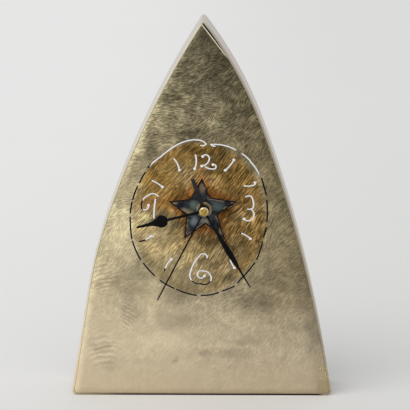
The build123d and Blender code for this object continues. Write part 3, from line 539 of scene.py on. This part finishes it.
def stroke_strength(n, face):
    """How strongly the strokes show: less near the foot, at the dial's lower left and beside the dial."""
    below_dial_mm, below_dial_share = (45.0, 135.0), 0.24
    foot_mm, foot_share = (8.0, 42.0), 0.45
    dial_share, plain_share = 1.1, 0.8
    calm_x_mm, calm_z_mm, calm_less = (5.0, -25.0), (150.0, 130.0), 0.35
    beside_mm, beside_share = (90.0, 120.0, 185.0, 215.0), 0.68
    low = n.remap(face.z, *below_dial_mm, below_dial_share, 1.0)
    foot = n.remap(face.z, *foot_mm, foot_share, 1.0)
    patchy = n.remap(face.cloud, 0.25, 0.6, 0.75, 1.1)
    calm = n.product(n.remap(face.x, *calm_x_mm), n.remap(face.z, *calm_z_mm), calm_less)
    dial = n.less(n.ease(face.inside, plain_share, dial_share), calm)
    beside = n.product(face.outside, n.band(face.z, *beside_mm))
    return n.product(low, foot, patchy, dial, n.ease(beside, 1.0, beside_share))


def grind(n, face, steel):
    """Strokes, mottle and ripples of the hand grinder. Gives the steel, the stroke and its strength."""
    stroke_stops, mottle_stops, tone_stops, ripple_stops = 1.05, 0.6, 0.5, 0.22
    stroke_span, mottle_span, dial_mottle = (0.36, 0.64), (0.32, 0.68), 0.6
    shoulder_x_mm, shoulder_z_mm = (38.0, -12.0), (130.0, 185.0)
    steep_lean, shoulder_lean = radians(48), radians(14)
    plain_spread, dial_spread = radians(60), radians(26)
    left = n.remap(face.x, *shoulder_x_mm)
    shoulder = n.product(left, n.remap(face.z, *shoulder_z_mm), face.outside)
    lean = n.ease(shoulder, steep_lean, shoulder_lean)
    spread = n.ease(face.inside, plain_spread, dial_spread)
    length_mm = n.ease(face.inside, stroke_length_mm, long_stroke_mm)
    stroke, tone = ground_face(n, face.plan, lean, spread, length_mm, 1.0)
    mottle = n.noise(n.shift(face.plan, 70.0, 160.0), 1 / mottle_mm, detail=4.0, rough=0.62)
    mottle = n.remap(mottle, *mottle_span, -mottle_stops, mottle_stops)
    lift = n.total(
        n.remap(stroke, *stroke_span, -stroke_stops, stroke_stops),
        n.product(mottle, n.ease(face.inside, 1.0, dial_mottle)),
        n.sway(tone, tone_stops),
    )
    ripple = n.total(*(n.ripple(face.frayed, *patch) for patch in ripples_mm))
    strength = stroke_strength(n, face)
    stops = n.total(n.product(lift, strength), n.product(ripple, ripple_stops))
    return n.expose(steel, stops), stroke, strength


def corner_weld(n, face, steel):
    """Weld ground flush at the lower right corner, with painted glints in its upper half."""
    weld_x_mm, weld_z_mm, glint_z_mm = (93.8, 95.2), (1.8, 3.2, 24.0, 27.0), (11.0, 16.0)
    weld_colour, glint_highlight_colour, cover = (0.46, 0.365, 0.20), (1.0, 0.88, 0.62), 0.6
    bead = n.product(n.remap(face.x, *weld_x_mm), n.band(face.z, *weld_z_mm))
    steel = n.mix(n.product(bead, cover), steel, weld_colour)
    # Painted highlights: bright glints on the upper half of the weld
    glint = n.noise(n.shift(face.plan, 5.0, 310.0), 1 / glint_mm, detail=2.0)
    painted_glints = n.product(bead, n.remap(glint, 0.5, 0.66), n.remap(face.z, *glint_z_mm), cover)
    return n.mix(painted_glints, steel, glint_highlight_colour)


def foot_contact_shadow(n, face, steel):
    """Painted contact shadow: a dark line where the foot meets the floor, fainter to the left."""
    shadow = (0.018, 0.012, 0.006)
    line_z_mm, right_end_mm = (1.7, 0.9), (101.0, 95.0)
    faint_x_mm, faint_share = (-101.0, -60.0), 0.45
    faint = n.remap(face.x, *faint_x_mm, faint_share, 1.0)
    # Painted contact shadow along the bottom edge of the foot
    line = n.product(n.remap(face.z, *line_z_mm), faint, n.remap(face.x, *right_end_mm))
    return n.mix(line, steel, shadow)


def star_face(n, face, steel):
    """Blued face of the star with its tints, a worn rim and a burnt edge."""
    rim_colour, edge_colour = (0.34, 0.25, 0.17), (0.012, 0.009, 0.008)
    rim_mm, border_mm, edge_mm = (-1.6, -0.7), (0.25, -0.25), (-0.9, -0.3, 0.3, 0.9)
    tint_cover, rim_cover, faint_edge = 0.95, 0.8, 0.65
    hue = n.noise(n.shift(face.plan, 15.0, 95.0), 1 / hue_mm, detail=3.0, bend=0.8)
    colour = n.ramp(hue, *star_colours)
    for (from_x, from_z), half, tint in star_tints_mm:
        middle = (from_x + dial_mm[0], from_z + dial_mm[1])
        colour = n.mix(n.oval(face.frayed, middle, half, tint_cover), colour, tint)
    rim = n.product(n.remap(face.star, *rim_mm), n.remap(hue, 0.48, 0.58, 0.0, rim_cover))
    colour = n.mix(rim, colour, rim_colour)
    steel = n.mix(n.remap(face.star, *border_mm), steel, colour)
    edge = n.product(n.band(face.star, *edge_mm), n.remap(hue, 0.60, 0.50, faint_edge, 1.0))
    return n.mix(edge, steel, edge_colour)


def plate_look(n, x, z):
    """Colour, roughness and stroke height of the ground dial plate at a place on its face."""
    least_rough, stroke_rough = 0.32, 0.2
    face = PlateFace(n, x, z)
    steel = steel_and_painted_light(n, face)
    for look in (ring_heat, star_heat, patches_and_painted_edge_light):
        steel = look(n, face, steel)
    steel, stroke, strength = grind(n, face, steel)
    for look in (corner_weld, foot_contact_shadow, star_face):
        steel = look(n, face, steel)
    roughness = n.total(least_rough, n.product(stroke, stroke_rough))
    return steel, roughness, n.product(stroke, strength)


def plate_material():
    """Ground steel of the dial plate, bright bevels with a painted highlight in the dial and painted shade
    on the lower ring, burnt slit walls and a painted highlight on the seam edge.
    """
    dial_reach, ring_start, lower_ring_mm = (1.08, 1.05), (0.93, 0.96), (188.0, 178.0)
    strip_mm, strip_z_mm = (-1.0, -0.7), (274.0, 282.0)
    stroke_depth_mm = 0.10
    material, n = new_material("plate_steel")
    _, (x, y, z) = n.place()
    steel, roughness, height = plate_look(n, x, z)
    _, ny, _ = n.facing()
    grain = n.noise(n.combine(x, y, z), 1 / cut_grain_mm)
    burnt = n.mix(grain, (0.016, 0.010, 0.004), (0.06, 0.04, 0.02))
    rim_bevel = n.mix(grain, (0.60, 0.52, 0.36), (0.92, 0.84, 0.64))
    dial_bevel_highlight = n.mix(grain, (0.86, 0.76, 0.58), (1.0, 0.92, 0.76))
    seam_highlight = n.mix(grain, (0.80, 0.72, 0.54), (1.0, 0.93, 0.78))

    ring = ring_reach(n, x, z)
    on_dial = n.remap(ring, *dial_reach)
    lower_ring_shade = n.product(n.remap(ring, *ring_start), on_dial, n.remap(z, *lower_ring_mm))
    # Bevels: bright ground edges, painted brighter as a highlight inside the dial and given the burnt
    # colour as painted shade on the lower ring
    bevel = n.mix(lower_ring_shade, n.mix(on_dial, rim_bevel, dial_bevel_highlight), burnt)
    steel = n.mix(n.remap(ny, *bevel_facing), steel, bevel)
    steel = n.mix(n.remap(ny, *wall_facing), steel, burnt)
    # Painted highlight: a bright strip along the plate's edge beside the seam, at the top
    past_seam = n.past(n.combine(x, z, 0.0), seam_out, seam_far_mm)
    seam_highlight_strip = n.product(n.remap(past_seam, *strip_mm), n.remap(z, *strip_z_mm))
    steel = n.mix(seam_highlight_strip, steel, seam_highlight)
    n.finish(steel, roughness, metallic=1.0, normal=n.bump(height, stroke_depth_mm))
    return material


def mill_scale(n, at):
    """Dark scale from the mill, left on the faces inside the case."""
    scale_mm = 14.0
    return n.mix(n.noise(at, 1 / scale_mm, detail=5.0), (0.010, 0.010, 0.011), (0.035, 0.033, 0.031))


def band_material():
    """Side bands: satin outside with painted shade on the right, dark mill scale inside, front edge ground
    with the plate and painted light on the left.
    """
    satin_mm, cream_mm, brush_per_mm = 40.0, 9.0, (0.25, 2.6, 0.25)
    satin_right_mm, cream_right_mm, cream_z_mm = (-3.0, 6.0), (-5.0, 10.0), (25.0, 60.0)
    return_z_mm, plate_back_mm, inward = (2.0, 3.0), (-23.7, -23.3), (-0.2, -0.4)
    seam_x_mm, seam_y_mm, seam_z_mm = (-2.0, 0.0), (0.0, -8.0), (250.0, 262.0, 297.0, 301.0)
    satin_rough, scale_rough, brush_depth_mm = 0.33, 0.62, 0.05
    material, n = new_material("band_steel")
    at, (x, y, z) = n.place()
    nx, ny, nz = n.facing()
    blotch = n.noise(at, 1 / satin_mm, detail=4.0)
    brush = n.noise(n.vector("MULTIPLY", at, brush_per_mm), 1.0, detail=3.0)
    share = n.total(n.product(blotch, 0.7), n.product(brush, 0.3))
    left_satin = n.mix(share, (0.62, 0.58, 0.52), (0.90, 0.85, 0.77))
    right_satin_shaded = n.mix(share, (0.52, 0.47, 0.40), (0.74, 0.68, 0.59))
    # Painted shade: the right band's satin is darker than the left's
    steel = n.mix(n.remap(x, *satin_right_mm), left_satin, right_satin_shaded)

    up_is_out = n.remap(z, *return_z_mm, -1.0, 1.0)
    outward = n.total(n.product(nx, n.math("SIGN", x)), n.product(up_is_out, nz))
    open_seam = n.product(n.remap(x, *seam_x_mm), n.band(z, *seam_z_mm), n.remap(y, *seam_y_mm))
    behind_plate = n.remap(y, *plate_back_mm)
    dark = n.product(n.remap(outward, *inward), behind_plate, n.less(1.0, open_seam))
    steel = n.mix(dark, steel, mill_scale(n, at))

    ground, _, _ = plate_look(n, x, z)
    # Front edge above the foot: painted highlight on the left, painted shade on the right
    left_edge_highlight = n.mix(n.noise(at, 1 / cream_mm), (0.84, 0.76, 0.59), (1.0, 0.95, 0.81))
    edge_light_and_shade = n.mix(n.remap(x, *cream_right_mm), left_edge_highlight, (0.50, 0.44, 0.35))
    front_edge = n.mix(n.remap(z, *cream_z_mm), ground, edge_light_and_shade)
    steel = n.mix(n.remap(ny, *front_facing), steel, front_edge)
    roughness = n.ease(dark, satin_rough, scale_rough)
    n.finish(steel, roughness, metallic=1.0, normal=n.bump(share, brush_depth_mm))
    return material


def steel_material(name, low, high, scale_inside=False):
    """Sheet steel with fine grinding; scale_inside keeps dark mill scale on the faces that look forward."""
    lean, spread, seed = radians(15), radians(80), 3.0
    least_rough, stroke_rough, stroke_depth_mm = 0.3, 0.2, 0.05
    forward = (-0.3, -0.5)
    material, n = new_material(name)
    at, (x, _, z) = n.place()
    plan = n.combine(x, z, 0.0)
    stroke, tone = ground_face(n, plan, lean, spread, stroke_length_mm, seed)
    share = n.total(n.product(stroke, 0.85), n.product(tone, 0.15))
    steel = n.mix(n.remap(share, 0.28, 0.72), low, high)
    _, ny, _ = n.facing()
    if scale_inside:
        steel = n.mix(n.remap(ny, *forward), steel, mill_scale(n, at))
    else:
        ground, _, _ = plate_look(n, x, z)
        steel = n.mix(n.remap(ny, *front_facing), steel, ground)
    roughness = n.total(least_rough, n.product(stroke, stroke_rough))
    n.finish(steel, roughness, metallic=1.0, normal=n.bump(share, stroke_depth_mm))
    return material


def plain_metal(name, low, high, least_rough, grain_mm, depth_mm=0.02):
    """Small metal fitting: two tones broken up by grain."""
    grain_rough = 0.15
    material, n = new_material(name)
    at, _ = n.place()
    grain = n.noise(at, 1 / grain_mm, detail=4.0)
    tone = n.mix(n.remap(grain, 0.3, 0.7), low, high)
    roughness = n.total(least_rough, n.product(grain, grain_rough))
    n.finish(tone, roughness, metallic=1.0, normal=n.bump(grain, depth_mm))
    return material


def boss_material():
    """Turned brass boss: golden face, and a pale rim on its bevel as a painted highlight."""
    turning_mm, turning_depth_mm, speck_mm = 0.25, 0.02, 1.4
    rim_highlight_facing, roughness = (-0.90, -0.70), 0.25
    material, n = new_material("boss_brass")
    at, (x, _, z) = n.place()
    _, ny, _ = n.facing()
    from_middle = n.combine(n.less(x, dial_mm[0]), n.less(z, dial_mm[1]), 0.0)
    turning = n.noise(n.length(from_middle), 1 / turning_mm, detail=2.0)
    grain = n.noise(at, 1 / speck_mm, detail=3.0)
    gold = n.mix(n.remap(grain, 0.35, 0.65), (0.30, 0.18, 0.025), (0.66, 0.46, 0.10))
    # Painted highlight: a pale rim on the bevel
    rim = n.mix(grain, (0.50, 0.38, 0.20), (0.85, 0.74, 0.52))
    brass = n.mix(n.remap(ny, *rim_highlight_facing), gold, rim)
    n.finish(brass, roughness, metallic=1.0, normal=n.bump(turning, turning_depth_mm))
    return material


def plastic(name, low, high, least_rough, grain_mm=0.5, depth_mm=0.03, shine=0.5):
    """Moulded plastic, rubber or paint with a fine grain and a slow change of tone."""
    slow_mm, slow_rough = 12.0, 0.12
    material, n = new_material(name)
    at, _ = n.place()
    grain = n.noise(at, 1 / grain_mm, detail=2.0)
    slow = n.noise(at, 1 / slow_mm, detail=3.0)
    tone = n.mix(n.remap(slow, 0.3, 0.7), low, high)
    roughness = n.total(least_rough, n.product(slow, slow_rough))
    n.finish(tone, roughness, normal=n.bump(grain, depth_mm), shine=shine)
    return material


def floor_material():
    """Pale paper with painted shade: darker near the front, to the right and far away."""
    near_to_back_mm, left_to_right_mm, far_mm = (-600.0, 1600.0), (-260.0, 260.0), (4000.0, 13000.0)
    left_gain, right_gain, far_gain = 1.02, 0.92, 0.86
    cloudy_mm, cloudy_gain, roughness, shine = 300.0, 0.02, 0.95, 0.1
    material, n = new_material("floor_paper")
    at, (x, y, _) = n.place()
    # Painted shade: darker near the front, to the right and far away
    paper = n.mix(n.remap(y, *near_to_back_mm), (0.785, 0.785, 0.778), (0.825, 0.825, 0.826))
    cloudy = n.product(n.noise(at, 1 / cloudy_mm), cloudy_gain)
    gain = n.total(n.remap(x, *left_to_right_mm, left_gain, right_gain), cloudy)
    gain = n.product(gain, n.remap(n.length(at), *far_mm, 1.0, far_gain))
    n.finish(n.tint(paper, gain, gain, gain), roughness, shine=shine)
    return material


def paint(material, *names):
    """Give each named piece this material in place of its own."""
    for name in names:
        slots = nodes[name].data.materials
        slots.clear()
        slots.append(material)


def soften_cuts(node):
    """Narrow bevels along the cut edges of a plate."""
    weld_mm, bevel_mm, sharp = 0.002, 0.22, radians(60)
    weld = node.modifiers.new("weld", "WELD")
    weld.merge_threshold = weld_mm * mm
    bevel = node.modifiers.new("cut_edges", "BEVEL")
    bevel.width = bevel_mm * mm
    bevel.segments = 1
    bevel.limit_method = "ANGLE"
    bevel.angle_limit = sharp


# Case
soften_cuts(nodes["front_plate"])
paint(plate_material(), "front_plate")
paint(band_material(), "left_band", "right_band")
paint(
    steel_material("back_steel", (0.38, 0.34, 0.27), (0.66, 0.60, 0.50), scale_inside=True),
    "back_plate",
)
paint(steel_material("base_steel", (0.40, 0.36, 0.30), (0.62, 0.57, 0.48)), "base_plate")
paint(
    plain_metal(
        "weld_bead", (0.10, 0.085, 0.07), (0.34, 0.29, 0.24), least_rough=0.4, grain_mm=1.6, depth_mm=0.15,
    ),
    "tack_welds",
)

# Hands and their fittings
paint(
    plastic(
        "hand_black", (0.002, 0.002, 0.002), (0.005, 0.0045, 0.004),
        least_rough=0.5, grain_mm=0.25, depth_mm=0.015, shine=0.08,
    ),
    "hour_hand", "minute_hand", "second_hand",
)
paint(
    plastic(
        "alarm_grey", (0.012, 0.011, 0.010), (0.030, 0.027, 0.024),
        least_rough=0.45, grain_mm=0.25, depth_mm=0.015, shine=0.2,
    ),
    "alarm_hand",
)
paint(
    plain_metal("aged_brass", (0.24, 0.17, 0.09), (0.62, 0.48, 0.28), least_rough=0.26, grain_mm=3.0),
    "nut", "washer", "bushing",
)
paint(boss_material(), "second_boss")
paint(
    plastic("gasket_rubber", (0.010, 0.010, 0.010), (0.02, 0.02, 0.02), least_rough=0.65, grain_mm=0.8),
    "gasket",
)

# Outside of the movement
paint(
    plastic("movement_black", (0.012, 0.012, 0.013), (0.022, 0.022, 0.023), least_rough=0.42),
    "movement_front_case", "movement_back_case",
)
paint(
    plastic("knob_black", (0.018, 0.018, 0.018), (0.035, 0.035, 0.034), least_rough=0.38),
    "time_knob", "alarm_knob",
)
paint(plastic("switch_white", (0.62, 0.60, 0.55), (0.74, 0.72, 0.67), least_rough=0.38), "alarm_switch")
paint(plastic("cell_sleeve", (0.09, 0.12, 0.15), (0.14, 0.17, 0.2), least_rough=0.32), "battery")

# Inside of the movement
paint(
    plastic("white_nylon", (0.68, 0.67, 0.62), (0.78, 0.77, 0.72), least_rough=0.42),
    "mid_plate", "alarm_wheel", "hour_wheel", "third_wheel", "intermediate_wheel", "alarm_pinion",
    "minute_wheel", "second_wheel", "motion_wheel", "rotor_arbor",
)
paint(
    plain_metal("plated_steel", (0.52, 0.51, 0.49), (0.70, 0.69, 0.66), least_rough=0.28, grain_mm=1.2),
    "stator", "coil_core", "crystal", "positive_contact", "negative_contact",
)
paint(
    plain_metal(
        "enamelled_copper", (0.42, 0.16, 0.06), (0.66, 0.30, 0.13),
        least_rough=0.3, grain_mm=0.35, depth_mm=0.08,
    ),
    "coil_winding",
)
paint(
    plastic("dark_ceramic", (0.02, 0.02, 0.022), (0.05, 0.05, 0.052), least_rough=0.45),
    "rotor_magnet", "chip",
)
paint(plastic("board_green", (0.02, 0.11, 0.04), (0.04, 0.17, 0.065), least_rough=0.4), "circuit_board")
paint(
    plain_metal("buzzer_brass", (0.60, 0.47, 0.22), (0.76, 0.62, 0.34), least_rough=0.3, grain_mm=2.0),
    "buzzer",
)

# Floor
floor_half = 15.0
floor_corners = [(floor_half * x, floor_half * y, 0.0) for x, y in ((-1, -1), (1, -1), (1, 1), (-1, 1))]
floor_mesh = bpy.data.meshes.new("floor")
floor_mesh.from_pydata(floor_corners, [], [(0, 1, 2, 3)])
floor_mesh.materials.append(floor_material())
floor = bpy.data.objects.new("floor", floor_mesh)
scene.collection.objects.link(floor)

# World: even pale light
world = bpy.data.worlds.new("studio")
scene.world = world
world.use_nodes = True
background = world.node_tree.nodes["Background"]
background.inputs["Color"].default_value = (1.0, 1.0, 1.0, 1.0)
background.inputs["Strength"].default_value = 0.70

# Key light: a broad soft sun from the front left, above
sun_path = Vector((0.55, 0.60, -0.75))
sun = bpy.data.lights.new("key", "SUN")
sun.energy = 1.1
sun.angle = radians(55)
sun.color = (1.0, 0.985, 0.96)
lamp = bpy.data.objects.new("key", sun)
lamp.rotation_mode = "QUATERNION"
lamp.rotation_quaternion = sun_path.to_track_quat("-Z", "Y")
scene.collection.objects.link(lamp)

# Camera at the photo's angle: above the clock and a little to its right
elevation = radians(10.5)
azimuth = radians(0.7)
distance = 2.0
pixel = 0.805 * mm
frame_pixels = 410
aim = Vector((2.86 * mm, plate_low.y, 157.8 * mm))
back = Vector((sin(azimuth) * cos(elevation), -cos(azimuth) * cos(elevation), sin(elevation)))
lens = bpy.data.cameras.new("camera")
lens.sensor_width = 36.0
lens.lens = lens.sensor_width * distance / (pixel * frame_pixels)
lens.clip_end = 100.0
camera = bpy.data.objects.new("camera", lens)
camera.location = aim + back * distance
camera.rotation_mode = "QUATERNION"
camera.rotation_quaternion = (-back).to_track_quat("-Z", "Y")
scene.collection.objects.link(camera)
scene.camera = camera
scene.view_settings.view_transform = "Standard"
